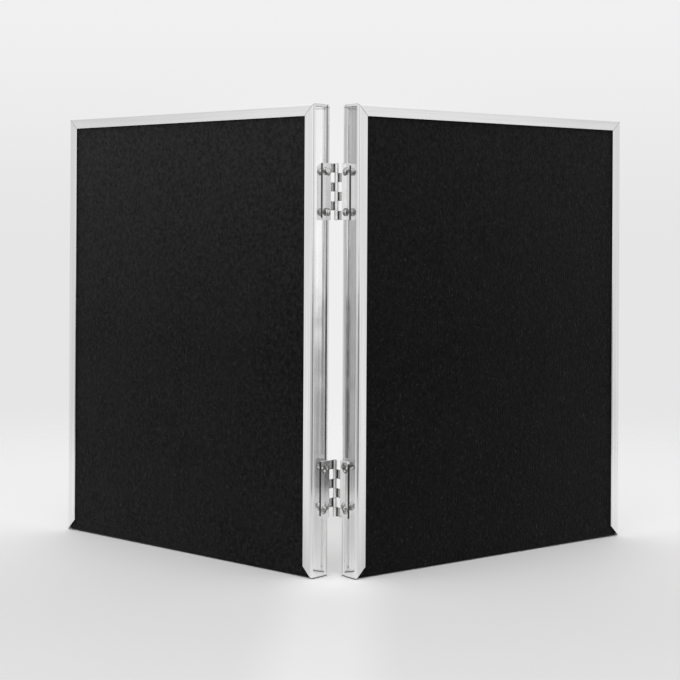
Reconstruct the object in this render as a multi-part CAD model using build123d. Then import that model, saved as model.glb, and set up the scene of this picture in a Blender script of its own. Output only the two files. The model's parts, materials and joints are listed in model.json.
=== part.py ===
from build123d import *
import math
import os

# Hinged double photo frame: two mitred metal frames joined by two small hinges, each with glass,
# photo card, filler card and a velvet covered back board that slides out at the bottom.
# Millimetres, +Z up. The origin is under the middle of the standing frame, at the table.

# Driving dimensions
photo_w = 203.2         # photo and glass, across
photo_h = 254.0         # photo and glass, upright
photo_gap = 1.0         # room between the photo's edge and the wall of the frame, each side
sheet_t = 1.2           # strip that the frame rails are formed from
bend_r = 1.6            # outside radius of the bend between back lip and wall
lip_w = 6.7             # back lip, measured from the outside of the wall
bead_w = 10.0           # front bead, across
bead_h = 5.0            # front bead, in front of the glass
bead_r = 3.3            # outside radius of the bead's two front corners
groove_w = 1.5          # V groove rolled into the outside, between wall and bead
groove_cut = 0.5        # depth of that groove
groove_rise = 0.9       # middle of the groove in front of the glass
mitre_gap = 0.15        # open seam between two rails at a corner

# The stack held in each frame, from the front to the back
glass_t = 2.0
glass_arris = 0.3       # chamfer that takes the sharpness off the glass edges
photo_t = 0.3
filler_t = 2.2
board_t = 3.0
velvet_t = 0.6
hem_w = 12.0            # velvet turned in round the front of the back board
slide_play = 0.15       # room in front of and behind the sliding back
side_play = 0.4         # room at the sides and top of the sliding back
board_rise = 1.6        # lower edge of the sliding back above the table

# Corner keys inside the bead
key_w = 5.0
key_leg = 24.0
key_play = 0.2

# Hinges
open_angle = 101.0      # angle between the two frames as they stand
closed_gap = 5.1        # room between the two beads when the frames are folded shut
hinge_inset = 47.7      # middle of each hinge from the nearer end of the frame
knuckle_count = 6
knuckle_len = 5.2
knuckle_gap = 0.2       # end play between neighbouring knuckles
barrel_r = 1.25
leaf_t = 0.6
leaf_reach = 10.8       # from the pin's axis to the far edge of a leaf
leaf_corner_r = 2.2
notch_clear = 2.6       # leaf cut back beyond the other leaf's knuckles
seam_gap = 0.12         # slit where a rolled knuckle meets its leaf
pin_fit = 0.05          # radial play of the pin in the knuckles
pin_proud = 0.3         # pin end beyond the last knuckle
rivet_pitch = 22.3
shank_r = 0.8
shank_fit = 0.05
head_r = 2.2
head_top_r = 1.4
head_h = 0.5
tail_r = 1.2
tail_h = 0.5

# Sizes that follow
frame_w = photo_w + 2 * (photo_gap + sheet_t)
frame_h = photo_h + 2 * (photo_gap + sheet_t)
slide_front = sheet_t + 2 * slide_play + 2 * velvet_t + board_t
wall_depth = slide_front + filler_t + photo_t + glass_t
frame_t = wall_depth + bead_h
bead_side = frame_t - bead_r
groove_depth = wall_depth + groove_rise
pin_depth = frame_t + closed_gap / 2
rivet_depth = wall_depth - shank_r
hinge_len = knuckle_count * knuckle_len
bore_r = barrel_r - leaf_t
pin_r = bore_r - pin_fit
lean = (180 - open_angle) / 2

# Where the pins stand, so that the whole part is centred on the origin
sin_lean = math.sin(math.radians(lean))
cos_lean = math.cos(math.radians(lean))
spine_y = (bend_r + barrel_r) * sin_lean + (bend_r - pin_depth) * cos_lean - bend_r
outer_y = (frame_w - bead_r + barrel_r) * sin_lean + (bead_side - pin_depth) * cos_lean + bead_r
pin_y = -(spine_y + outer_y) / 2


def block(x0, x1, y0, y1, z0, z1):
    """A box between two corners of a panel."""
    return Pos((x0 + x1) / 2, (y0 + y1) / 2, (z0 + z1) / 2) * Box(x1 - x0, y1 - y0, z1 - z0)


def arc(start, middle, end):
    return ThreePointArc(start, middle, end)


def rail_section(with_lip):
    """The formed strip: X runs in from the outside of the wall, Y from the back to the front."""
    inner_r = bead_r - sheet_t
    far_r = bead_w - bead_r
    inside = bead_w - sheet_t
    face_in = frame_t - sheet_t
    mid = bead_r * math.sqrt(0.5)
    inner_mid = inner_r * math.sqrt(0.5)
    groove_back = (0, groove_depth - groove_w / 2)
    groove_floor = (groove_cut, groove_depth)
    groove_front = (0, groove_depth + groove_w / 2)
    bead = [
        Line(groove_back, groove_floor),
        Line(groove_floor, groove_front),
        Line(groove_front, (0, bead_side)),
        arc((0, bead_side), (bead_r - mid, bead_side + mid), (bead_r, frame_t)),
        Line((bead_r, frame_t), (far_r, frame_t)),
        arc((far_r, frame_t), (far_r + mid, bead_side + mid), (bead_w, bead_side)),
        Line((bead_w, bead_side), (bead_w, wall_depth)),
        Line((bead_w, wall_depth), (inside, wall_depth)),
        Line((inside, wall_depth), (inside, bead_side)),
        arc((inside, bead_side), (far_r + inner_mid, bead_side + inner_mid), (far_r, face_in)),
        Line((far_r, face_in), (bead_r, face_in)),
        arc((bead_r, face_in), (bead_r - inner_mid, bead_side + inner_mid), (sheet_t, bead_side)),
    ]
    if with_lip:
        edge_r = sheet_t / 2
        bend_in = bend_r - sheet_t
        turn = bend_r - bend_r * math.sqrt(0.5)
        turn_in = bend_r - bend_in * math.sqrt(0.5)
        foot = [
            Line((sheet_t, bead_side), (sheet_t, bend_r)),
            arc((sheet_t, bend_r), (turn_in, turn_in), (bend_r, sheet_t)),
            Line((bend_r, sheet_t), (lip_w - edge_r, sheet_t)),
            arc((lip_w - edge_r, sheet_t), (lip_w, edge_r), (lip_w - edge_r, 0)),
            Line((lip_w - edge_r, 0), (bend_r, 0)),
            arc((bend_r, 0), (turn, turn), (0, bend_r)),
            Line((0, bend_r), groove_back),
        ]
    else:
        foot = [
            Line((sheet_t, bead_side), (sheet_t, slide_front)),
            Line((sheet_t, slide_front), (0, slide_front)),
            Line((0, slide_front), groove_back),
        ]
    return make_face(Curve() + bead + foot)


def rail(length, with_lip=True):
    """One straight rail along Z with both ends cut to 45 degrees."""
    trim = mitre_gap / math.sqrt(2)
    reach = max(lip_w, bead_w) + sheet_t
    outline = Polyline(
        (0, trim),
        (0, length - trim),
        (reach, length - trim - reach),
        (reach, trim + reach),
        close=True,
    )
    side = Plane.XZ * make_face(outline)
    wedge = extrude(side, amount=frame_t, both=True)
    bar = extrude(rail_section(with_lip), amount=length)
    return bar & wedge


def rivet_places():
    """Heights of the rivets in one spine rail."""
    middles = (hinge_inset, frame_h - hinge_inset)
    return [middle + side * rivet_pitch / 2 for middle in middles for side in (-1, 1)]


def across(radius, x0, x1, depth, height):
    """A round bar that runs across the spine wall."""
    bar = Cylinder(radius, x1 - x0)
    return Pos((x0 + x1) / 2, depth, height) * Rot(0, 90, 0) * bar


def spine_rail():
    bar = rail(frame_h)
    for height in rivet_places():
        bar -= across(shank_r + shank_fit, -sheet_t, 2 * sheet_t, rivet_depth, height)
    return bar


def outer_rail():
    return Plane((frame_w, 0, frame_h), x_dir=(-1, 0, 0), z_dir=(0, 0, -1)) * rail(frame_h)


def top_rail():
    return Plane((0, 0, frame_h), x_dir=(0, 0, -1), z_dir=(1, 0, 0)) * rail(frame_w)


def bottom_rail():
    return Plane((frame_w, 0, 0), x_dir=(0, 0, 1), z_dir=(-1, 0, 0)) * rail(frame_w, with_lip=False)


def corner_keys():
    """Four flat L shaped keys in the hollow of the bead."""
    hollow_r = bead_r - sheet_t
    into_corner = max(key_w / 2 - (bead_w / 2 - bead_r), 0)
    ceiling = bead_side + math.sqrt(hollow_r ** 2 - into_corner ** 2)
    key_t = ceiling - wall_depth - 2 * key_play
    near = (bead_w - key_w) / 2
    far = (bead_w + key_w) / 2
    back = wall_depth + key_play
    ring = block(near, frame_w - near, back, back + key_t, near, frame_h - near)
    ring -= block(far, frame_w - far, back - key_t, back + 2 * key_t, far, frame_h - far)
    keys = []
    for x0 in (near, frame_w - near - key_leg):
        for z0 in (near, frame_h - near - key_leg):
            corner = block(x0, x0 + key_leg, back - key_t, back + 2 * key_t, z0, z0 + key_leg)
            keys.append(ring & corner)
    return Compound([solid for key in keys for solid in key.solids()])


def sheet_in_stack(back, thickness):
    """A sheet of the photo's size that stands on the bottom rail."""
    edge = sheet_t + photo_gap
    return block(edge, edge + photo_w, back, back + thickness, sheet_t, sheet_t + photo_h)


def glass():
    pane = sheet_in_stack(wall_depth - glass_t, glass_t)
    return chamfer(pane.edges(), glass_arris)


def photo_card():
    return sheet_in_stack(wall_depth - glass_t - photo_t, photo_t)


def filler_card():
    return sheet_in_stack(slide_front, filler_t)


def covered_board(inset):
    """The sliding back's outline, drawn in by the given amount on every side."""
    edge = sheet_t + side_play + inset
    back = sheet_t + slide_play + inset
    front = slide_front - slide_play - inset
    return block(edge, frame_w - edge, back, front, board_rise + inset, frame_h - edge)


def back_board():
    return covered_board(velvet_t)


def velvet_cover():
    """Velvet over the back and edges of the board, with its hem turned in at the front."""
    edge = sheet_t + side_play + hem_w
    window = block(edge, frame_w - edge, slide_front - velvet_t - slide_play - board_t / 2, slide_front,
                   board_rise + hem_w, frame_h - edge)
    return covered_board(0) - covered_board(velvet_t) - window


def hinge_leaf(rows):
    """One leaf on the spine wall, with its own rows of rolled knuckles, centred in height."""
    far_edge = pin_depth - leaf_reach
    notch_edge = pin_depth - barrel_r - notch_clear
    plate = block(-leaf_t, 0, far_edge, notch_edge, -hinge_len / 2, hinge_len / 2)
    corners = plate.edges().filter_by(Axis.X).group_by(Axis.Y)[0]
    plate = fillet(corners, leaf_corner_r)
    for side in (-1, 1):
        plate -= across(shank_r + shank_fit, -2 * leaf_t, leaf_t, rivet_depth, side * rivet_pitch / 2)
    strap = Pos(-leaf_t / 2, (notch_edge + pin_depth) / 2) * Rectangle(leaf_t, pin_depth - notch_edge)
    roll = Pos(-barrel_r, pin_depth) * (Circle(barrel_r) - Circle(bore_r))
    slit = Pos(-leaf_t - seam_gap / 2, pin_depth - barrel_r / 2) * Rectangle(seam_gap, barrel_r)
    section = strap + (roll - slit)
    for row in rows:
        low = hinge_len / 2 - (row + 1) * knuckle_len + knuckle_gap / 2
        plate += Pos(0, 0, low) * extrude(section, amount=knuckle_len - knuckle_gap)
    return plate


def hinge_pin():
    return Pos(-barrel_r, pin_depth, 0) * Cylinder(pin_r, hinge_len + 2 * pin_proud)


def hinge_rivets():
    """Low headed rivets through leaf and wall, with the tail flared open inside the wall."""
    shank_len = leaf_t + sheet_t
    head = Pos(0, 0, head_h / 2) * Cone(head_r, head_top_r, head_h)
    shank = Pos(0, 0, -shank_len / 2) * Cylinder(shank_r, shank_len)
    tail = Pos(0, 0, -shank_len - tail_h / 2) * Cone(tail_r, shank_r, tail_h)
    body = head + shank + tail
    rivets = [Pos(-leaf_t, rivet_depth, height) * Rot(0, -90, 0) * body for height in rivet_places()]
    return Compound([solid for rivet in rivets for solid in rivet.solids()])


# Each panel is drawn upright with its spine wall at X = 0 and its back at Y = 0, then stood at the pins
stand = Pos(0, pin_y, 0) * Rot(0, 0, lean) * Pos(barrel_r, -pin_depth, 0)


def right(solid):
    return stand * solid


def left(solid):
    return mirror(stand * solid, about=Plane.YZ)


panel = {
    "top_rail": top_rail(),
    "bottom_rail": bottom_rail(),
    "spine_rail": spine_rail(),
    "outer_rail": outer_rail(),
    "corner_keys": corner_keys(),
    "glass": glass(),
    "photo_card": photo_card(),
    "filler_card": filler_card(),
    "back_board": back_board(),
    "velvet_cover": velvet_cover(),
    "hinge_rivets": hinge_rivets(),
}

nodes = {}
for name, solid in panel.items():
    nodes["left_" + name] = left(solid)
    nodes["right_" + name] = right(solid)

# The left leaf has the first knuckle from the top, and the two leaves take turns from there
left_leaf = hinge_leaf(range(0, knuckle_count, 2))
right_leaf = hinge_leaf(range(1, knuckle_count, 2))
for name, height in (("lower_hinge", hinge_inset), ("upper_hinge", frame_h - hinge_inset)):
    nodes[name + "_right_leaf"] = right(Pos(0, 0, height) * right_leaf)
    nodes[name + "_left_leaf"] = left(Pos(0, 0, height) * left_leaf)
    nodes[name + "_pin"] = right(Pos(0, 0, height) * hinge_pin())

os.makedirs("parts", exist_ok=True)
for name, solid in nodes.items():
    export_step(solid, os.path.join("parts", name + ".step"))
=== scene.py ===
import json
import math

import bmesh
import bpy
from mathutils import Matrix


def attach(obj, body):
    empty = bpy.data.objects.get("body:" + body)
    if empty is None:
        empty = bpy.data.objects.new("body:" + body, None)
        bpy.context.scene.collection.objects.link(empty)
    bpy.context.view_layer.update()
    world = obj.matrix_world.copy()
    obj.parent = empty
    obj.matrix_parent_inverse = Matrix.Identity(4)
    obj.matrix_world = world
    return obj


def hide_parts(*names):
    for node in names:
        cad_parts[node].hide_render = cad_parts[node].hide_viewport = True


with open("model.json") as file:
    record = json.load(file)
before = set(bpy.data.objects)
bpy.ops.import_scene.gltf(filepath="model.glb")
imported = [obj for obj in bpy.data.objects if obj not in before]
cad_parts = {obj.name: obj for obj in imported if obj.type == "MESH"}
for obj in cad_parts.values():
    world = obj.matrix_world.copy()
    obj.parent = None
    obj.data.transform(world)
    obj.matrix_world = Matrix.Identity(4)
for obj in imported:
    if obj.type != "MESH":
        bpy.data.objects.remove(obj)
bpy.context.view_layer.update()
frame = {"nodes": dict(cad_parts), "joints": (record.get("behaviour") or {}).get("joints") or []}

# Sizes in metres, in the frame of one panel: X runs in from the spine wall's outer face,
# Y from the back lip to the front bead, Z up
MM = 0.001
FRAME_W = 207.6 * MM
FRAME_H = 258.4 * MM
SHEET = 1.2 * MM
BEND_R = 1.6 * MM
LIP_W = 6.7 * MM
BEAD_W = 10.0 * MM
BEAD_R = 3.3 * MM
WALL_DEPTH = 10.2 * MM
FRAME_T = 15.2 * MM
BEAD_SIDE = FRAME_T - BEAD_R
GROOVE_W = 1.5 * MM
GROOVE_CUT = 0.5 * MM
GROOVE_DEPTH = 11.1 * MM
SLIDE_FRONT = 5.7 * MM
MITRE_GAP = 0.15 * MM
SOFT_EDGE = 0.2 * MM
TOP_LINE = 1.6 * MM

# The stack behind the glass and the sliding back
CARD_EDGE = 2.2 * MM
CARD_W = 203.2 * MM
CARD_H = 254.0 * MM
CARD_BACK = 7.9 * MM
CARD_T = 0.22 * MM
COVER_EDGE = 1.6 * MM
COVER_BACK = 1.35 * MM
COVER_FRONT = 5.55 * MM
COVER_FOOT = 0.5 * MM
COVER_ROUND = 0.9 * MM
VELVET_T = 0.6 * MM
HEM_W = 12.0 * MM
FOLD_LINE = 0.5 * MM
FOLD_SINK = 0.35 * MM

# Hinges
BARREL_R = 1.25 * MM
PIN_DEPTH = 17.75 * MM
LEAF_T = 0.6 * MM
LEAF_REACH = 10.8 * MM
LEAF_CORNER = 2.2 * MM
LEAF_BOW = math.tan(math.radians(9.5))
LEAF_EDGE = PIN_DEPTH - LEAF_REACH
NOTCH_EDGE = PIN_DEPTH - BARREL_R - 2.6 * MM
KNUCKLE_COUNT = 6
KNUCKLE_PITCH = 5.2 * MM
KNUCKLE_LEN = 5.0 * MM
HINGE_LEN = KNUCKLE_COUNT * KNUCKLE_PITCH
HINGE_INSET = 47.7 * MM
ROLL_DEG = 290
PIN_R = 0.6 * MM
PIN_PROUD = 0.3 * MM
PIN_DOME = 0.22 * MM
RIVET_DEPTH = 9.4 * MM
RIVET_PITCH = 22.3 * MM
HEAD_R = 2.2 * MM
HEAD_TOP_R = 1.4 * MM
HEAD_RIM = 0.12 * MM
HEAD_SHOULDER = 0.42 * MM
HEAD_DOME = 0.08 * MM
SHANK_R = 0.8 * MM
TAIL_R = 1.2 * MM
TAIL_H = 0.5 * MM
HINGES = {"lower": HINGE_INSET, "upper": FRAME_H - HINGE_INSET}

# Steps of the rounded forms, and how far edges are eased
MERGE = 0.002 * MM
TOUCH = 0.01 * MM
SHARP = math.radians(30)
TURN_STEPS = 40
ROLL_STEPS = 28
BEAD_STEPS = 20
INNER_BEAD_STEPS = 10
BEND_STEPS = 12
INNER_BEND_STEPS = 6
DOME_STEPS = 6
CORNER_STEPS = 8
COVER_STEPS = 5
FOLD_STEPS = 2
LEAF_SOFT = 0.1 * MM
RIVET_SOFT = 0.05 * MM
PIN_SOFT = 0.04 * MM
CARD_SOFT = 0.04 * MM

# Painted shade on the metal: its warm dark grey, and where it starts and is thickest
PAINTED_SHADE_GREY = 0.09
PAINTED_SHADE_WARM = 0.05
PAINTED_FOOT_SHADOW = (0.9 * MM, 0.5 * MM)
PAINTED_TOP_LINE = (0.35 * MM, 0.15 * MM)
PAST_BEND = (1.2 * MM, 2.0 * MM)
PAINTED_STRAP_DEPTH = (PIN_DEPTH - 2.4 * MM, PIN_DEPTH - 1.5 * MM)
STRAP_BACK = (-0.05 * MM, -0.3 * MM)
PAINTED_LEAF_EDGE = (LEAF_EDGE + 0.30 * MM, LEAF_EDGE + 0.12 * MM)
PAINTED_HEAD_RIM = (0.82 * HEAD_R, 0.98 * HEAD_R)

# Where the velvet is painted paler towards the top as painted light, and where the left back ends and
# the right one starts
PAINTED_LIGHT_RISE = (120 * MM, 260 * MM)
LEFT_TO_RIGHT = (-10 * MM, 10 * MM)

# How fibres lie in card, board and cloth, in radians
FIBRE_TURNS = (0.35, 1.45, 2.5)

# How the two panels stand, from the fold joint
FOLD = next(joint for joint in frame["joints"] if joint["name"] == "fold")
PIN_Y = FOLD["pos_m"][1]
LEAN = math.radians((180 - FOLD["range_deg"][1]) / 2)
STAND_RIGHT = (
    Matrix.Translation((0, PIN_Y, 0))
    @ Matrix.Rotation(LEAN, 4, "Z")
    @ Matrix.Translation((BARREL_R, -PIN_DEPTH, 0))
)
STAND = {"right": STAND_RIGHT, "left": Matrix.Scale(-1, 4, (1, 0, 0)) @ STAND_RIGHT}

# The photograph's view
LENS_MM = 83.86
SENSOR_MM = 36.0
CAMERA_AT = (30.9 * MM, PIN_Y - 870.9 * MM, 192.9 * MM)
CAMERA_YAW = math.radians(1.898)
CAMERA_ROLL = math.radians(0.302)
HORIZON_SHIFT = -0.1704

# Light levels of the studio, where 1 is white
NEAR_LIGHT = 0.85
SIDE_LIGHT = 0.74
FAR_LIGHT = 0.82
OVERHEAD_LIGHT = 1.65
OVERHEAD_SEEN = 1.0
CEILING_SEEN = 1.0
PALE_LOW = 0.79
PALE_HIGH = 0.875
GLOW = 0.07

# Where that light starts and where it is full, as parts of a direction of length 1 from the frame
SIDE_FROM = (0.30, 0.08)
NEAR_FROM = (-0.02, -0.14)
CEILING_UP = (0.34, 0.46)
CEILING_BACK = (-0.14, -0.06)
OVERHEAD_FROM = (-0.10, -0.50, 0.860)
OVERHEAD_SPREAD = (0.62, 0.88)
PALE_RISE = (-0.02, 0.14)
GLOW_X = -0.035
GLOW_ASIDE = (0.15, 0.02)
GLOW_UP = (0.10, 0.02)
STUDIO_SIDE = (0.10, 0.20)
STUDIO_SOFT = 0.03

# What stands in the room: on the camera's side (-1) or before the photos (1), its light level,
# its ends in X and its ends in Z, as parts of the same direction
STUDIO = {
    "room_floor": (-1, 0.44, -0.84, 0.80, -1.00, -0.05),
    "grey_screen": (-1, 0.52, 0.36, 0.60, -1.00, 0.50),
    "grey_flag": (-1, 0.25, 0.47, 0.59, -0.05, 0.20),
    "low_flag": (-1, 0.05, 0.47, 0.585, -0.30, -0.05),
    "left_softbox": (-1, 1.17, -0.49, -0.25, -0.05, 0.60),
    "left_screen": (-1, 0.52, -0.66, -0.52, -1.00, 0.20),
    "white_card": (-1, 0.80, -0.285, -0.14, -0.30, -0.05),
    "right_softbox": (-1, 1.15, 0.63, 0.75, -0.05, 0.60),
    "black_flag": (-1, 0.10, 0.78, 0.88, -0.30, -0.04),
    "dark_cloth": (-1, 0.04, 0.20, 0.34, -0.30, -0.06),
    "dark_stand": (-1, 0.22, -0.09, 0.03, -0.30, -0.06),
    "front_flag_left": (1, 0.20, -0.50, -0.34, -0.30, 0.42),
    "front_flag_right": (1, 0.20, 0.34, 0.50, -0.30, 0.42),
}

# The paper floor, painted paler behind the frame than before it as painted light, and the white tongue
# that stands for light through the gap at the spine, a painted pool of light
FLOOR_SIZE = 4.0
FLOOR_GREY = 0.702
FLOOR_PAINTED_LIT_BEHIND = 0.82
FLOOR_PAINTED_LIGHT_POOL = 0.95
FLOOR_TURN = (-0.20, 0.06)
FLOOR_FADE = (0.12, 0.85)
FLOOR_EDGE_X = (0.085, 0.115)
FLOOR_EDGE_Y = (-0.318, -0.255)
FLOOR_EDGE_SOFT = 0.03
TONGUE_ASIDE = (0.040, 0.008)
TONGUE_AHEAD = (-0.13, -0.07)
TONGUE_INSIDE = (-0.065, -0.045)
TONGUE_BACK = (0.13, 0.04)
TONGUE_FRONT = (-0.36, -0.27)


# Shader helpers


def add(tree, kind, inputs=None, **settings):
    """A shader node with its settings, and its inputs set to values or linked to sockets."""
    made = tree.nodes.new(kind)
    for name, value in settings.items():
        setattr(made, name, value)
    for name, value in (inputs or {}).items():
        if isinstance(value, bpy.types.NodeSocket):
            tree.links.new(value, made.inputs[name])
        else:
            made.inputs[name].default_value = value
    return made


def between(tree, value, low, high, to_low=0.0, to_high=1.0, smooth=True):
    """The value carried from one range to another, held at the ends."""
    kind = "SMOOTHSTEP" if smooth else "LINEAR"
    inputs = {"Value": value, "From Min": low, "From Max": high, "To Min": to_low, "To Max": to_high}
    return add(tree, "ShaderNodeMapRange", inputs, interpolation_type=kind).outputs["Result"]


def sums(tree, operation, first, second):
    """One step of arithmetic on two numbers."""
    made = add(tree, "ShaderNodeMath", operation=operation)
    for socket, value in zip(made.inputs, (first, second)):
        if isinstance(value, bpy.types.NodeSocket):
            tree.links.new(value, socket)
        else:
            socket.default_value = value
    return made.outputs["Value"]


def mixed(tree, factor, first, second):
    """Two colours mixed by a mask."""
    made = add(tree, "ShaderNodeMix", {"Factor": factor}, data_type="RGBA")
    for socket, value in ((made.inputs[6], first), (made.inputs[7], second)):
        if isinstance(value, bpy.types.NodeSocket):
            tree.links.new(value, socket)
        else:
            socket.default_value = value
    return made.outputs[2]


def blended(tree, factor, first, second):
    """Two numbers mixed by a mask."""
    return add(tree, "ShaderNodeMix", {"Factor": factor, "A": first, "B": second}).outputs["Result"]


def grey(level, warm=0.0):
    """A neutral colour, or a warm one."""
    return (level * (1 + warm), level, level * (1 - warm), 1.0)


def new_group(name, inputs, outputs):
    """A shader node group with number inputs besides its Vector, and its two end nodes."""
    tree = bpy.data.node_groups.new(name, "ShaderNodeTree")
    tree.interface.new_socket("Vector", in_out="INPUT", socket_type="NodeSocketVector")
    for socket, value in inputs.items():
        made = tree.interface.new_socket(socket, in_out="INPUT", socket_type="NodeSocketFloat")
        made.default_value = value
    for socket in outputs:
        tree.interface.new_socket(socket, in_out="OUTPUT", socket_type="NodeSocketFloat")
    return tree, tree.nodes.new("NodeGroupInput").outputs, tree.nodes.new("NodeGroupOutput").inputs


def noise(tree, vector, scale, detail=2.0, roughness=0.5):
    """Soft random patches, as values from 0 to 1."""
    inputs = {"Vector": vector, "Scale": scale, "Detail": detail, "Roughness": roughness}
    return add(tree, "ShaderNodeTexNoise", inputs).outputs["Fac"]


def stretched(tree, vector, across, along):
    """A pattern vector that runs long in Z and short in X and Y."""
    size = {"X": across, "Y": across, "Z": along}
    size = add(tree, "ShaderNodeCombineXYZ", size).outputs["Vector"]
    made = add(tree, "ShaderNodeVectorMath", {0: vector, 1: size}, operation="MULTIPLY")
    return made.outputs["Vector"]


def polishing_lines():
    """Fine and broad lines left by the polishing wheel along a strip."""
    sizes = {"Across": 1500.0, "Along": 10.0}
    tree, given, out = new_group("polishing_lines", sizes, ["Fine", "Broad"])
    narrow = stretched(tree, given["Vector"], given["Across"], given["Along"])
    fine = noise(tree, narrow, scale=1.0, detail=3.0, roughness=0.6)
    wide = sums(tree, "MULTIPLY", given["Across"], 0.42)
    wide = stretched(tree, given["Vector"], wide, given["Along"])
    broad = noise(tree, wide, scale=0.8, detail=2.0, roughness=0.5)
    tree.links.new(fine, out["Fine"])
    tree.links.new(broad, out["Broad"])
    return tree


def handling_marks():
    """Soft cloudy patches from wiping and fingers."""
    tree, given, out = new_group("handling_marks", {"Scale": 55.0}, ["Mask"])
    cloud = noise(tree, given["Vector"], given["Scale"], detail=5.0, roughness=0.62)
    tree.links.new(between(tree, cloud, 0.46, 0.72), out["Mask"])
    return tree


def pressed_fibres():
    """Short fibres lying every way, as in card, board and felted cloth."""
    sizes = {"Across": 2600.0, "Along": 420.0}
    tree, given, out = new_group("pressed_fibres", sizes, ["Mask", "Clumps"])
    layers = []
    for angle in FIBRE_TURNS:
        lay = {"Vector": given["Vector"], "Angle": angle}
        lay = add(tree, "ShaderNodeVectorRotate", lay, rotation_type="Y_AXIS").outputs["Vector"]
        lay = stretched(tree, lay, given["Across"], given["Along"])
        layers.append(noise(tree, lay, scale=1.0, detail=1.0))
    most = layers[0]
    for layer in layers[1:]:
        most = sums(tree, "MAXIMUM", most, layer)
    clumps = noise(tree, given["Vector"], given["Along"], detail=3.0, roughness=0.6)
    tree.links.new(between(tree, most, 0.5, 0.78), out["Mask"])
    tree.links.new(clumps, out["Clumps"])
    return tree


GROUPS = {made.name: made for made in (polishing_lines(), handling_marks(), pressed_fibres())}


class Finish:
    """A material under construction, with its Principled shader and a panel's own coordinates."""

    def __init__(self, name, side=None, level=False, **values):
        self.material = bpy.data.materials.new(name)
        self.material.use_nodes = True
        self.tree = self.material.node_tree
        self.shader = self.tree.nodes["Principled BSDF"]
        for socket, value in values.items():
            self.shader.inputs[socket.replace("_", " ")].default_value = value
        self.panel = add(self.tree, "ShaderNodeTexCoord").outputs["Object"]
        if side:
            back = STAND_RIGHT.inverted()
            mirror = (1.0, 1.0, 1.0) if side == "right" else (-1.0, 1.0, 1.0)
            place = {"Vector": self.panel, "Scale": mirror, "Rotation": back.to_euler(),
                     "Location": back.to_translation()}
            self.panel = add(self.tree, "ShaderNodeMapping", place).outputs["Vector"]
        self.vector = self.panel
        if level:
            lying = {"Vector": self.panel, "Rotation": (0.0, math.radians(90), 0.0)}
            self.vector = add(self.tree, "ShaderNodeMapping", lying).outputs["Vector"]

    def group(self, name, **values):
        """Places a shared effect in the material with its own values."""
        made = add(self.tree, "ShaderNodeGroup", node_tree=GROUPS[name])
        self.tree.links.new(self.vector, made.inputs["Vector"])
        for socket, value in values.items():
            made.inputs[socket].default_value = value
        return made.outputs

    def feed(self, socket, value):
        """Links a value to one of the shader's sockets."""
        self.tree.links.new(value, self.shader.inputs[socket])

    def cleared(self, mask):
        """Lets light and sight through the surface by a mask."""
        clear = add(self.tree, "ShaderNodeBsdfTransparent").outputs["BSDF"]
        blend = add(self.tree, "ShaderNodeMixShader", {"Fac": mask})
        self.tree.links.new(self.shader.outputs["BSDF"], blend.inputs[1])
        self.tree.links.new(clear, blend.inputs[2])
        output = self.tree.nodes["Material Output"]
        self.tree.links.new(blend.outputs["Shader"], output.inputs["Surface"])

    def bump(self, height, distance, strength=1.0):
        """Gives the surface a fine relief."""
        made = add(self.tree, "ShaderNodeBump",
                   {"Height": height, "Distance": distance, "Strength": strength})
        self.feed("Normal", made.outputs["Normal"])


def panel_axes(made):
    """X, Y and Z in a finish's own coordinates."""
    return add(made.tree, "ShaderNodeSeparateXYZ", {"Vector": made.panel}).outputs


def painted_rail_end_shade(made):
    """A painted contact shadow along the foot of an upright rail's wall, and a fainter painted dark
    reflection line under its top.
    """
    tree = made.tree
    axes = panel_axes(made)
    # Painted contact shadow at the foot, and a painted dark reflection line under the top
    foot = between(tree, axes["Z"], *PAINTED_FOOT_SHADOW, 0.0, 0.9)
    under_top = sums(tree, "SUBTRACT", FRAME_H - TOP_LINE, axes["Z"])
    line = between(tree, sums(tree, "ABSOLUTE", under_top, 0.0), *PAINTED_TOP_LINE, 0.0, 0.6)
    line = sums(tree, "MULTIPLY", line, between(tree, axes["Y"], *PAST_BEND))
    return sums(tree, "MAXIMUM", foot, line)


def painted_strap_shade(made):
    """Painted shade on the wall side of a strap, thickest where it runs in under the knuckle."""
    tree = made.tree
    axes = panel_axes(made)
    painted_depth_shade = between(tree, axes["Y"], *PAINTED_STRAP_DEPTH, 0.2, 1.0)
    return sums(tree, "MULTIPLY", painted_depth_shade, between(tree, axes["X"], *STRAP_BACK, 0.12, 1.0))


def painted_leaf_shade(made):
    """Painted shade along the edge of a leaf, down to the wall."""
    return between(made.tree, panel_axes(made)["Y"], *PAINTED_LEAF_EDGE)


def painted_head_shade(made):
    """Painted shade round the rim of each rivet head, and painted dark reflections in blotches on it.
    """
    tree = made.tree
    axes = panel_axes(made)
    height = axes["Z"]
    for middle in (FRAME_H / 2, FRAME_H / 2 - HINGE_INSET, RIVET_PITCH / 2):
        height = sums(tree, "ABSOLUTE", sums(tree, "SUBTRACT", height, middle), 0.0)
    depth = sums(tree, "SUBTRACT", axes["Y"], RIVET_DEPTH)
    place = add(tree, "ShaderNodeCombineXYZ", {"X": depth, "Y": height}).outputs["Vector"]
    off = add(tree, "ShaderNodeVectorMath", {0: place}, operation="LENGTH").outputs["Value"]
    rim = between(tree, off, *PAINTED_HEAD_RIM, 0.0, 0.8)
    dark_reflection_blotches = between(tree, noise(tree, made.panel, scale=480.0), 0.38, 0.54, 0.0, 0.88)
    return sums(tree, "MAXIMUM", rim, dark_reflection_blotches)


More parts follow.
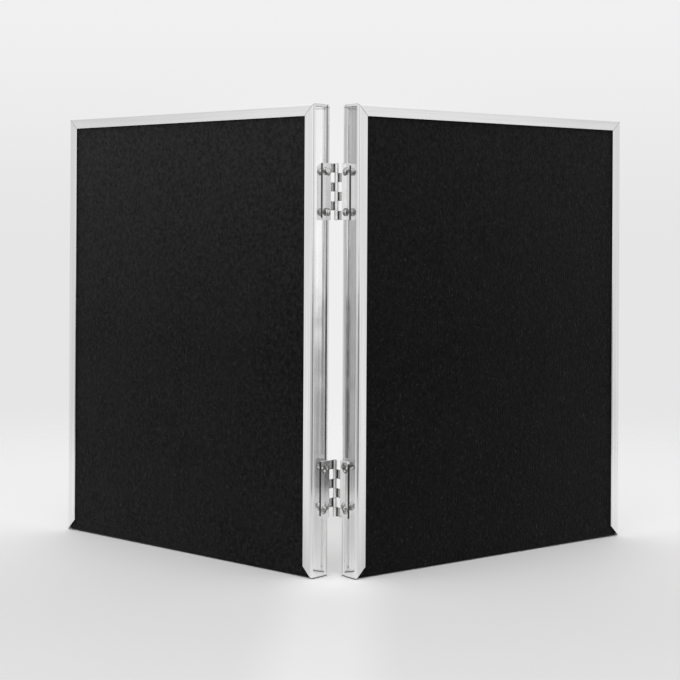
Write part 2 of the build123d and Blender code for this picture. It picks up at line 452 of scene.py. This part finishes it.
def polished(name, bright, dull, gloss, haze, wave, side=None, level=False, painted_shade=None, bow=0.0):
    """Bright plate with polishing lines along the strip, handling marks and a slight wave."""
    made = Finish(name, side, level, Metallic=1.0)
    lines = made.group("polishing_lines")
    marks = made.group("handling_marks")["Mask"]
    tree = made.tree
    colour = mixed(tree, between(tree, lines["Broad"], 0.32, 0.68), dull, bright)
    # Painted shade, where a mask for it is given, darkens the plate's colour
    if painted_shade:
        colour = mixed(tree, painted_shade(made), colour, grey(PAINTED_SHADE_GREY, PAINTED_SHADE_WARM))
    made.feed("Base Color", colour)
    streak = between(tree, lines["Fine"], 0.3, 0.7, gloss, gloss + 0.06)
    made.feed("Roughness", sums(tree, "ADD", streak, sums(tree, "MULTIPLY", marks, haze)))
    slow = noise(tree, made.vector, scale=38.0, detail=1.0)
    height = sums(tree, "ADD", sums(tree, "MULTIPLY", lines["Broad"], 0.25), slow)
    height = sums(tree, "ADD", height, sums(tree, "MULTIPLY", lines["Fine"], 0.03))
    if bow:
        depth = sums(tree, "MINIMUM", panel_axes(made)["Y"], NOTCH_EDGE)
        rise = sums(tree, "MULTIPLY", depth, bow / wave)
        height = sums(tree, "ADD", height, rise)
    made.bump(height, wave)
    return made.material


def clear_glass():
    """Clear sheet with faint wiping marks, which lets the studio's light through to the photo."""
    made = Finish("clear_glass", Base_Color=(0.985, 0.995, 0.99, 1), Transmission_Weight=1.0, IOR=1.5)
    marks = made.group("handling_marks", Scale=30.0)["Mask"]
    made.feed("Roughness", sums(made.tree, "MULTIPLY", marks, 0.02))
    path = add(made.tree, "ShaderNodeLightPath").outputs
    made.cleared(sums(made.tree, "MAXIMUM", path["Is Shadow Ray"], path["Is Diffuse Ray"]))
    return made.material


def blank_photo_paper():
    """Smooth white card with the faintest fibres."""
    made = Finish("blank_photo_paper", Roughness=0.5, Specular_IOR_Level=0.4)
    fibres = made.group("pressed_fibres", Across=3000.0, Along=700.0)
    made.feed("Base Color", mixed(made.tree, fibres["Clumps"], grey(0.80, 0.012), grey(0.84, 0.01)))
    made.bump(fibres["Mask"], 0.01 * MM, 0.4)
    return made.material


def tan_card():
    """Rough plain card in which the fibres show."""
    made = Finish("tan_card", Roughness=0.92, Specular_IOR_Level=0.2)
    fibres = made.group("pressed_fibres", Across=1600.0, Along=240.0)
    ground = mixed(made.tree, fibres["Clumps"], (0.34, 0.27, 0.19, 1), (0.52, 0.43, 0.31, 1))
    made.feed("Base Color", mixed(made.tree, fibres["Mask"], ground, (0.62, 0.55, 0.44, 1)))
    made.bump(fibres["Mask"], 0.05 * MM)
    return made.material


def brown_hardboard():
    """Pressed brown board with paler fibres."""
    made = Finish("brown_hardboard", Roughness=0.62, Specular_IOR_Level=0.35)
    fibres = made.group("pressed_fibres", Across=1100.0, Along=150.0)
    ground = mixed(made.tree, fibres["Clumps"], (0.105, 0.056, 0.027, 1), (0.20, 0.115, 0.06, 1))
    made.feed("Base Color", mixed(made.tree, fibres["Mask"], ground, (0.27, 0.17, 0.095, 1)))
    made.bump(fibres["Mask"], 0.08 * MM)
    return made.material


def black_velvet():
    """Short pile, mottled by the way its nap lies and flecked with lint, with painted light that makes
    it paler towards the top and on the left, and painted shade on the right.
    """
    made = Finish("black_velvet", Roughness=0.95, Specular_IOR_Level=0.08, Sheen_Weight=0.085,
                  Sheen_Roughness=0.45, Sheen_Tint=(0.93, 0.93, 0.95, 1))
    tree = made.tree
    pile = made.group("pressed_fibres", Across=1500.0, Along=520.0)
    lint = made.group("pressed_fibres", Across=900.0, Along=170.0)["Mask"]
    axes = panel_axes(made)
    nap = noise(tree, made.vector, scale=420.0, detail=3.0, roughness=0.65)
    raised = between(tree, nap, 0.3, 0.7)
    brushed = noise(tree, made.vector, scale=26.0, detail=3.0, roughness=0.5)
    ground = mixed(tree, raised, grey(0.0004), grey(0.0095))
    ground = mixed(tree, between(tree, brushed, 0.35, 0.65, 0.0, 0.35), ground, grey(0.008))
    # Painted shade: the right back is darker than the left
    right_painted_shade = between(tree, axes["X"], *LEFT_TO_RIGHT, 0.0, 0.40)
    ground = mixed(tree, right_painted_shade, ground, grey(0.0))
    # Painted light: paler towards the top, more so on the left
    painted_lit_top = between(tree, axes["Z"], *PAINTED_LIGHT_RISE, 0.0, 0.68, smooth=False)
    painted_lit_top = sums(tree, "MULTIPLY", painted_lit_top, between(tree, axes["X"], *LEFT_TO_RIGHT, 1.0, 0.42))
    painted_lit_pile = mixed(tree, raised, grey(0.011), grey(0.030))
    ground = mixed(tree, painted_lit_top, ground, painted_lit_pile)
    caught = between(tree, lint, 0.72, 1.0, 0.0, 0.40)
    made.feed("Base Color", mixed(tree, caught, ground, grey(0.04)))
    depth = sums(tree, "ADD", nap, sums(tree, "MULTIPLY", pile["Mask"], 0.5))
    made.bump(depth, 0.35 * MM, 0.8)
    return made.material


SILVER = {}
NICKEL = {}
STRAPS = {}
HEADS = {}
for side in STAND:
    for lie in ("upright", "level"):
        SILVER[side, lie] = polished(
            "silver_" + lie + "_" + side, bright=grey(0.91), dull=grey(0.82), gloss=0.05, haze=0.07,
            wave=0.12 * MM, side=side, level=lie == "level",
            painted_shade=painted_rail_end_shade if lie == "upright" else None)
    NICKEL[side] = polished(
        "bright_nickel_" + side, bright=grey(0.92), dull=grey(0.82), gloss=0.08, haze=0.08,
        wave=0.03 * MM, side=side, painted_shade=painted_leaf_shade, bow=LEAF_BOW)
    # The straps are a darker copy of the nickel, as painted shade, with more painted shade where they
    # run in under the knuckle
    STRAPS[side] = polished(
        "painted_shade_nickel_" + side, bright=grey(0.80), dull=grey(0.66), gloss=0.15, haze=0.1,
        wave=0.03 * MM, side=side, painted_shade=painted_strap_shade)
    HEADS[side] = polished(
        "rivet_nickel_" + side, bright=grey(0.92), dull=grey(0.82), gloss=0.05, haze=0.05,
        wave=0.02 * MM, side=side, painted_shade=painted_head_shade)
WIRE = polished("drawn_wire", bright=grey(0.72), dull=grey(0.60), gloss=0.14, haze=0.1, wave=0.02 * MM)
ZINC = polished("zinc_plate", bright=grey(0.66), dull=grey(0.52), gloss=0.28, haze=0.12, wave=0.05 * MM)
VELVET = black_velvet()
PAPER = blank_photo_paper()
KEPT = {
    "glass": clear_glass(),
    "filler_card": tan_card(),
    "back_board": brown_hardboard(),
    "corner_keys": ZINC,
}


# Mesh helpers


def line_to(bm, pen, x, y, z=0.0):
    """Draws an edge from a vertex to a point, and returns its new end."""
    end = bmesh.ops.extrude_vert_indiv(bm, verts=[pen])["verts"][0]
    end.co = (x, y, z)
    return end


def arc_about(bm, pen, x, y, degrees, steps):
    """Carries a vertex round a centre, and returns the end of its arc."""
    swept = bmesh.ops.spin(bm, geom=[pen], cent=(x, y, 0), axis=(0, 0, 1),
                           angle=math.radians(degrees), steps=steps)
    return swept["geom_last"][0]


def dome(radius, rise):
    """The sphere radius of a low dome, and the angle from its top to its rim in degrees."""
    sphere = (radius ** 2 + rise ** 2) / (2 * rise)
    return sphere, math.degrees(math.asin(radius / sphere))


def pen_at(bm, x, y, z=0.0):
    """The first vertex of an outline."""
    return bmesh.ops.create_vert(bm, co=(x, y, z))["vert"][0]


def moved(bm, geom, y=0.0, z=0.0):
    """Shifts what an operator has just made."""
    verts = [part for part in geom if isinstance(part, bmesh.types.BMVert)]
    bmesh.ops.translate(bm, verts=verts, vec=(0, y, z))


def merged(bm):
    """Closes seams and poles, and turns all faces outwards."""
    bmesh.ops.remove_doubles(bm, verts=bm.verts[:], dist=MERGE)
    bmesh.ops.recalc_face_normals(bm, faces=bm.faces[:])


def spun(bm):
    """Turns a profile drawn beside the Y axis into a closed round shape."""
    bmesh.ops.spin(bm, geom=bm.verts[:] + bm.edges[:], cent=(0, 0, 0), axis=(0, 1, 0),
                   angle=math.radians(360), steps=TURN_STEPS, use_merge=True)
    merged(bm)


def stood(bm, side):
    """Puts a piece drawn in a panel's frame where that panel stands."""
    bm.transform(STAND[side])
    if STAND[side].determinant() < 0:
        bmesh.ops.reverse_faces(bm, faces=bm.faces[:])


def made_piece(bm, name, body, node, material):
    """The finished object, on its body, in place of its CAD node."""
    mesh = bpy.data.meshes.new(name)
    bm.to_mesh(mesh)
    bm.free()
    mesh.materials.append(material)
    mesh.shade_smooth()
    made = bpy.data.objects.new(name, mesh)
    bpy.context.scene.collection.objects.link(made)
    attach(made, body)
    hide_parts(node)
    return made


def thickened(made, thickness):
    """Gives a sheet its thickness on the side away from its normals."""
    skin = made.modifiers.new("thickness", "SOLIDIFY")
    skin.thickness = thickness
    skin.offset = -1.0
    skin.use_even_offset = True


def eased(made, width=SOFT_EDGE, segments=2):
    """Takes the sharpness off a piece's edges and keeps its flats flat."""
    edge = made.modifiers.new("eased_edges", "BEVEL")
    edge.width = width
    edge.segments = segments
    edge.limit_method = "ANGLE"
    edge.angle_limit = SHARP
    normals = made.modifiers.new("flat_faces", "WEIGHTED_NORMAL")
    normals.weight = 100
    normals.keep_sharp = True


# Rails


def strip_section(bm, with_lip):
    """The formed strip's outline: wall, groove, rounded bead, and the back lip if it has one."""
    wall_end = BEND_R if with_lip else SLIDE_FRONT
    pen = pen_at(bm, 0, wall_end)
    pen = line_to(bm, pen, 0, GROOVE_DEPTH - GROOVE_W / 2)
    pen = line_to(bm, pen, GROOVE_CUT, GROOVE_DEPTH)
    pen = line_to(bm, pen, 0, GROOVE_DEPTH + GROOVE_W / 2)
    pen = line_to(bm, pen, 0, BEAD_SIDE)
    pen = arc_about(bm, pen, BEAD_R, BEAD_SIDE, -90, BEAD_STEPS)
    pen = line_to(bm, pen, BEAD_W - BEAD_R, FRAME_T)
    pen = arc_about(bm, pen, BEAD_W - BEAD_R, BEAD_SIDE, -90, BEAD_STEPS)
    pen = line_to(bm, pen, BEAD_W, WALL_DEPTH)
    pen = line_to(bm, pen, BEAD_W - SHEET, WALL_DEPTH)
    pen = line_to(bm, pen, BEAD_W - SHEET, BEAD_SIDE)
    pen = arc_about(bm, pen, BEAD_W - BEAD_R, BEAD_SIDE, 90, INNER_BEAD_STEPS)
    pen = line_to(bm, pen, BEAD_R, FRAME_T - SHEET)
    pen = arc_about(bm, pen, BEAD_R, BEAD_SIDE, 90, INNER_BEAD_STEPS)
    pen = line_to(bm, pen, SHEET, wall_end)
    if with_lip:
        pen = arc_about(bm, pen, BEND_R, BEND_R, 90, INNER_BEND_STEPS)
        pen = line_to(bm, pen, LIP_W - SHEET / 2, SHEET)
        pen = arc_about(bm, pen, LIP_W - SHEET / 2, SHEET / 2, -180, BEND_STEPS)
        pen = line_to(bm, pen, BEND_R, 0)
        pen = arc_about(bm, pen, BEND_R, BEND_R, -90, BEND_STEPS)
    else:
        line_to(bm, pen, 0, wall_end)


def mitred(bm, height, down):
    """Cuts one end of a rail to 45 degrees and closes the cut."""
    everything = bm.verts[:] + bm.edges[:] + bm.faces[:]
    cut = bmesh.ops.bisect_plane(bm, geom=everything, plane_co=(0, 0, height), plane_no=(1, 0, down),
                                 clear_outer=True)["geom_cut"]
    edges = [part for part in cut if isinstance(part, bmesh.types.BMEdge)]
    bmesh.ops.edgeloop_fill(bm, edges=edges)


def rail(length, with_lip):
    """One straight rail along Z with both ends mitred."""
    bm = bmesh.new()
    strip_section(bm, with_lip)
    bmesh.ops.remove_doubles(bm, verts=bm.verts[:], dist=MERGE)
    section = bmesh.ops.edgeloop_fill(bm, edges=bm.edges[:])["faces"]
    moved(bm, bmesh.ops.extrude_face_region(bm, geom=section)["geom"], z=length)
    trim = MITRE_GAP / math.sqrt(2)
    mitred(bm, trim, -1)
    mitred(bm, length - trim, 1)
    bmesh.ops.recalc_face_normals(bm, faces=bm.faces[:])
    return bm


def turned(degrees, x, z):
    """A turn about Y that ends at a corner of the frame."""
    return Matrix.Translation((x, 0, z)) @ Matrix.Rotation(math.radians(degrees), 4, "Y")


RAIL_PLACES = {
    "spine": (FRAME_H, turned(0, 0, 0)),
    "outer": (FRAME_H, turned(180, FRAME_W, FRAME_H)),
    "top": (FRAME_W, turned(90, 0, FRAME_H)),
    "bottom": (FRAME_W, turned(-90, FRAME_W, 0)),
}


def rails(side):
    """The four rails of one frame, each turned to its edge."""
    for name, (length, place) in RAIL_PLACES.items():
        bm = rail(length, with_lip=name != "bottom")
        bm.transform(place)
        stood(bm, side)
        material = SILVER[side, "upright" if length == FRAME_H else "level"]
        node = side + "_" + name + "_rail"
        made = made_piece(bm, node + "_strip", side + "_frame", node, material)
        eased(made)


# Hinges


def hinge_leaf(rows):
    """One sheet: a plate on the wall with its rows of straps rolled round the pin."""
    bm = bmesh.new()
    half = HINGE_LEN / 2
    pen = pen_at(bm, 0, NOTCH_EDGE, half)
    for row in rows:
        top = half - row * KNUCKLE_PITCH - (KNUCKLE_PITCH - KNUCKLE_LEN) / 2
        pen = line_to(bm, pen, 0, NOTCH_EDGE, top)
        pen = line_to(bm, pen, 0, NOTCH_EDGE, top - KNUCKLE_LEN)
    line_to(bm, pen, 0, NOTCH_EDGE, -half)
    bm.edges.ensure_lookup_table()
    notch_line = bm.edges[:]
    straps = notch_line[1::2]
    plate = bmesh.ops.extrude_edge_only(bm, edges=notch_line)["geom"]
    moved(bm, plate, y=LEAF_EDGE - NOTCH_EDGE)
    corners = [part for part in plate
               if isinstance(part, bmesh.types.BMVert) and abs(part.co.z) > half - TOUCH]
    strap_ends = bmesh.ops.extrude_edge_only(bm, edges=straps)["geom"]
    moved(bm, strap_ends, y=PIN_DEPTH - NOTCH_EDGE)
    rolled = [part for part in strap_ends if not isinstance(part, bmesh.types.BMFace)]
    bmesh.ops.spin(bm, geom=rolled, cent=(-BARREL_R, PIN_DEPTH, 0), axis=(0, 0, 1),
                   angle=math.radians(ROLL_DEG), steps=ROLL_STEPS)
    for face in set(strap_ends) - set(rolled):
        face.material_index = 1
    bmesh.ops.bevel(bm, geom=corners, offset=LEAF_CORNER, offset_type="OFFSET", segments=CORNER_STEPS,
                    profile=0.5, affect="VERTICES", material=-1)
    merged(bm)
    flat = max(bm.faces, key=lambda face: face.calc_area())
    if flat.normal.x < 0:
        bmesh.ops.reverse_faces(bm, faces=bm.faces[:])
    return bm


def rivet():
    """A head with a sloping shoulder and a nearly flat top, its shank, and its flared tail."""
    bm = bmesh.new()
    sphere, sweep = dome(HEAD_TOP_R, HEAD_DOME)
    head_top = HEAD_SHOULDER + HEAD_DOME
    wall_in = -LEAF_T - SHEET
    pen = pen_at(bm, 0, head_top)
    pen = arc_about(bm, pen, 0, head_top - sphere, -sweep, DOME_STEPS)
    pen = line_to(bm, pen, HEAD_R, HEAD_RIM)
    pen = line_to(bm, pen, HEAD_R, 0)
    pen = line_to(bm, pen, SHANK_R, 0)
    pen = line_to(bm, pen, SHANK_R, wall_in)
    pen = line_to(bm, pen, TAIL_R, wall_in - TAIL_H)
    line_to(bm, pen, 0, wall_in - TAIL_H)
    spun(bm)
    bm.transform(Matrix.Rotation(math.radians(90), 4, "Z"))
    return bm


def rivets(side):
    """The four rivets of one spine rail, two to a hinge."""
    bm = rivet()
    first = bm.verts[:] + bm.edges[:] + bm.faces[:]
    heights = [middle + step * RIVET_PITCH / 2 for middle in HINGES.values() for step in (-1, 1)]
    for height in heights[1:]:
        copy = bmesh.ops.duplicate(bm, geom=first)["geom"]
        moved(bm, copy, z=height - heights[0])
    bm.transform(Matrix.Translation((-LEAF_T, RIVET_DEPTH, heights[0])))
    stood(bm, side)
    node = side + "_hinge_rivets"
    made = made_piece(bm, node + "_domed", side + "_frame", node, HEADS[side])
    eased(made, RIVET_SOFT)


def pin():
    """A wire with low domed ends."""
    bm = bmesh.new()
    half = HINGE_LEN / 2 + PIN_PROUD
    sphere, sweep = dome(PIN_R, PIN_DOME)
    pen = pen_at(bm, 0, half)
    pen = arc_about(bm, pen, 0, half - sphere, -sweep, DOME_STEPS)
    pen = line_to(bm, pen, PIN_R, -half + PIN_DOME)
    arc_about(bm, pen, 0, -half + sphere, -sweep, DOME_STEPS)
    spun(bm)
    bm.transform(Matrix.Rotation(math.radians(90), 4, "X"))
    return bm


def hinges():
    """Both hinges: the left leaf has the first knuckle from the top."""
    for hinge, height in HINGES.items():
        for side, first in (("left", 0), ("right", 1)):
            bm = hinge_leaf(range(first, KNUCKLE_COUNT, 2))
            bm.transform(Matrix.Translation((0, 0, height)))
            stood(bm, side)
            node = hinge + "_hinge_" + side + "_leaf"
            made = made_piece(bm, node + "_rolled", side + "_frame", node, NICKEL[side])
            made.data.materials.append(STRAPS[side])
            thickened(made, LEAF_T)
            eased(made, LEAF_SOFT)
        bm = pin()
        bm.transform(Matrix.Translation((0, PIN_Y, height)))
        node = hinge + "_hinge_pin"
        made = made_piece(bm, node + "_domed", "left_frame", node, WIRE)
        eased(made, PIN_SOFT)


# The sliding backs and the blank photos


def boxed(x0, x1, y0, y1, z0, z1):
    """A cube stretched between two corners of a panel."""
    bm = bmesh.new()
    bmesh.ops.create_cube(bm, size=1.0)
    bmesh.ops.scale(bm, verts=bm.verts[:], vec=(x1 - x0, y1 - y0, z1 - z0))
    bmesh.ops.translate(bm, verts=bm.verts[:], vec=((x0 + x1) / 2, (y0 + y1) / 2, (z0 + z1) / 2))
    return bm


def velvet_cover(side):
    """Velvet over the board's back and edges, its hem folded in at the corners and open inside."""
    bm = boxed(COVER_EDGE, FRAME_W - COVER_EDGE, COVER_BACK, COVER_FRONT,
               COVER_FOOT, FRAME_H - COVER_EDGE)
    front = max(bm.faces, key=lambda face: face.calc_center_median().y)
    hem = bmesh.ops.inset_region(bm, faces=[front], thickness=HEM_W)["faces"]
    bmesh.ops.delete(bm, geom=[front], context="FACES_ONLY")
    hem_edges = {edge for face in hem for edge in face.edges}
    folds = [edge for edge in hem_edges if sum(face in hem for face in edge.link_faces) == 2]
    outside = [edge for edge in bm.edges if edge.is_manifold and edge not in folds]
    sunk = bmesh.ops.bevel(bm, geom=folds, offset=FOLD_LINE, offset_type="OFFSET", segments=FOLD_STEPS,
                           profile=0.5, affect="EDGES", material=-1)
    crease = sunk["faces"]
    middles = [vert for vert in sunk["verts"] if sum(face in crease for face in vert.link_faces) > 1]
    bmesh.ops.translate(bm, verts=middles, vec=(0, -FOLD_SINK, 0))
    outside = [edge for edge in outside if edge.is_valid]
    bmesh.ops.bevel(bm, geom=outside, offset=COVER_ROUND, offset_type="OFFSET", segments=COVER_STEPS,
                    profile=0.5, affect="EDGES", material=-1)
    stood(bm, side)
    node = side + "_velvet_cover"
    made = made_piece(bm, node + "_nap", side + "_back", node, VELVET)
    thickened(made, VELVET_T)


def photo_card(side):
    """A blank card behind the glass."""
    bm = boxed(CARD_EDGE, CARD_EDGE + CARD_W, CARD_BACK, CARD_BACK + CARD_T, SHEET, SHEET + CARD_H)
    stood(bm, side)
    node = side + "_photo_card"
    made = made_piece(bm, node + "_blank", side + "_frame", node, PAPER)
    eased(made, CARD_SOFT)


for side in ("left", "right"):
    rails(side)
    rivets(side)
    velvet_cover(side)
    photo_card(side)
    for word, material in KEPT.items():
        node = frame["nodes"][side + "_" + word]
        node.data.materials.clear()
        node.data.materials.append(material)
hinges()


# Studio


def studio_light():
    """A pale room lit from above, with the softboxes, screens and flags that the metal mirrors."""
    world = bpy.data.worlds.new("studio")
    bpy.context.scene.world = world
    world.use_nodes = True
    tree = world.node_tree
    tree.nodes.clear()
    direction = add(tree, "ShaderNodeTexCoord").outputs["Generated"]
    axes = add(tree, "ShaderNodeSeparateXYZ", {"Vector": direction}).outputs
    path = add(tree, "ShaderNodeLightPath").outputs
    mirrored = path["Is Glossy Ray"]
    seen = sums(tree, "MAXIMUM", path["Is Camera Ray"], path["Is Transmission Ray"])
    pale = between(tree, axes["Z"], *PALE_RISE, PALE_LOW, PALE_HIGH)
    aside = sums(tree, "ABSOLUTE", sums(tree, "SUBTRACT", axes["X"], GLOW_X), 0.0)
    glow = between(tree, aside, *GLOW_ASIDE, 0.0, GLOW)
    glow = sums(tree, "MULTIPLY", glow, between(tree, axes["Z"], *GLOW_UP))
    pale = sums(tree, "ADD", pale, glow)
    lights = [
        (SIDE_LIGHT, between(tree, axes["Y"], *SIDE_FROM)),
        (NEAR_LIGHT, between(tree, axes["Y"], *NEAR_FROM)),
    ]
    for way, light, *place in STUDIO.values():
        lights.append((light, studio_mask(tree, axes, way, *place)))
    ceiling = between(tree, axes["Z"], *CEILING_UP)
    ceiling = sums(tree, "MULTIPLY", ceiling, between(tree, axes["Y"], *CEILING_BACK))
    lights.append((CEILING_SEEN, sums(tree, "MULTIPLY", ceiling, mirrored)))
    overhead = {0: direction, 1: OVERHEAD_FROM}
    overhead = add(tree, "ShaderNodeVectorMath", overhead, operation="DOT_PRODUCT").outputs["Value"]
    lamp = blended(tree, mirrored, OVERHEAD_LIGHT, OVERHEAD_SEEN)
    lights.append((lamp, between(tree, overhead, *OVERHEAD_SPREAD)))
    level = blended(tree, sums(tree, "MAXIMUM", seen, mirrored), FAR_LIGHT, pale)
    for light, mask in lights:
        level = blended(tree, mask, level, light)
    level = blended(tree, seen, level, pale)
    light = add(tree, "ShaderNodeBackground", {"Color": (1, 1, 1, 1), "Strength": level})
    add(tree, "ShaderNodeOutputWorld", {"Surface": light.outputs["Background"]})


def studio_mask(tree, axes, way, left, right, low, high):
    """A soft edged rectangle on one side of the room."""
    mask = between(tree, axes["Y"], STUDIO_SIDE[0] * way, STUDIO_SIDE[1] * way)
    for axis, first, last in (("X", left, right), ("Z", low, high)):
        starts = between(tree, axes[axis], first - STUDIO_SOFT, first)
        stops = between(tree, axes[axis], last + STUDIO_SOFT, last)
        mask = sums(tree, "MULTIPLY", mask, sums(tree, "MULTIPLY", starts, stops))
    return mask


def paper_floor():
    """White paper that fades into the room. What the metal mirrors of it ends before the frame."""
    bm = bmesh.new()
    bmesh.ops.create_grid(bm, x_segments=1, y_segments=1, size=FLOOR_SIZE)
    mesh = bpy.data.meshes.new("floor")
    bm.to_mesh(mesh)
    bm.free()
    floor = bpy.data.objects.new("floor", mesh)
    bpy.context.scene.collection.objects.link(floor)
    paper = Finish("floor_paper", Roughness=0.7, Specular_IOR_Level=0.2)
    tree = paper.tree
    axes = panel_axes(paper)
    # The tongue is a painted pool of light, as if through the gap at the spine
    aside = between(tree, sums(tree, "ABSOLUTE", axes["X"], 0.0), *TONGUE_ASIDE)
    ahead = between(tree, axes["Y"], *TONGUE_AHEAD, 0.32, 0.60)
    inside = between(tree, axes["Y"], *TONGUE_INSIDE, 0.0, 0.40)
    painted_light_pool = sums(tree, "MULTIPLY", aside, sums(tree, "ADD", ahead, inside))
    for end in (TONGUE_BACK, TONGUE_FRONT):
        painted_light_pool = sums(tree, "MULTIPLY", painted_light_pool, between(tree, axes["Y"], *end))
    # Painted light: the floor is paler behind the frame than before it
    ground = mixed(tree, between(tree, axes["Y"], *FLOOR_TURN), grey(FLOOR_GREY), grey(FLOOR_PAINTED_LIT_BEHIND))
    paper.feed("Base Color", mixed(tree, painted_light_pool, ground, grey(FLOOR_PAINTED_LIGHT_POOL)))
    reach = add(tree, "ShaderNodeVectorMath", {0: paper.panel}, operation="LENGTH").outputs["Value"]
    far = between(tree, reach, *FLOOR_FADE)
    edge = between(tree, axes["X"], *FLOOR_EDGE_X, *FLOOR_EDGE_Y)
    front = between(tree, sums(tree, "SUBTRACT", edge, axes["Y"]), 0.0, FLOOR_EDGE_SOFT)
    seen = add(tree, "ShaderNodeLightPath").outputs["Is Camera Ray"]
    front = sums(tree, "MULTIPLY", front, sums(tree, "SUBTRACT", 1.0, seen))
    paper.cleared(sums(tree, "MAXIMUM", far, front))
    mesh.materials.append(paper.material)


def camera():
    """The photograph's camera: level, with its picture shifted down."""
    data = bpy.data.cameras.new("camera")
    data.sensor_width = SENSOR_MM
    data.lens = LENS_MM
    data.shift_y = HORIZON_SHIFT
    made = bpy.data.objects.new("camera", data)
    bpy.context.scene.collection.objects.link(made)
    made.matrix_world = (
        Matrix.Translation(CAMERA_AT)
        @ Matrix.Rotation(CAMERA_YAW, 4, "Z")
        @ Matrix.Rotation(math.radians(90), 4, "X")
        @ Matrix.Rotation(CAMERA_ROLL, 4, "Z")
    )
    bpy.context.scene.camera = made


studio_light()
paper_floor()
camera()
bpy.context.scene.view_settings.view_transform = "Standard"
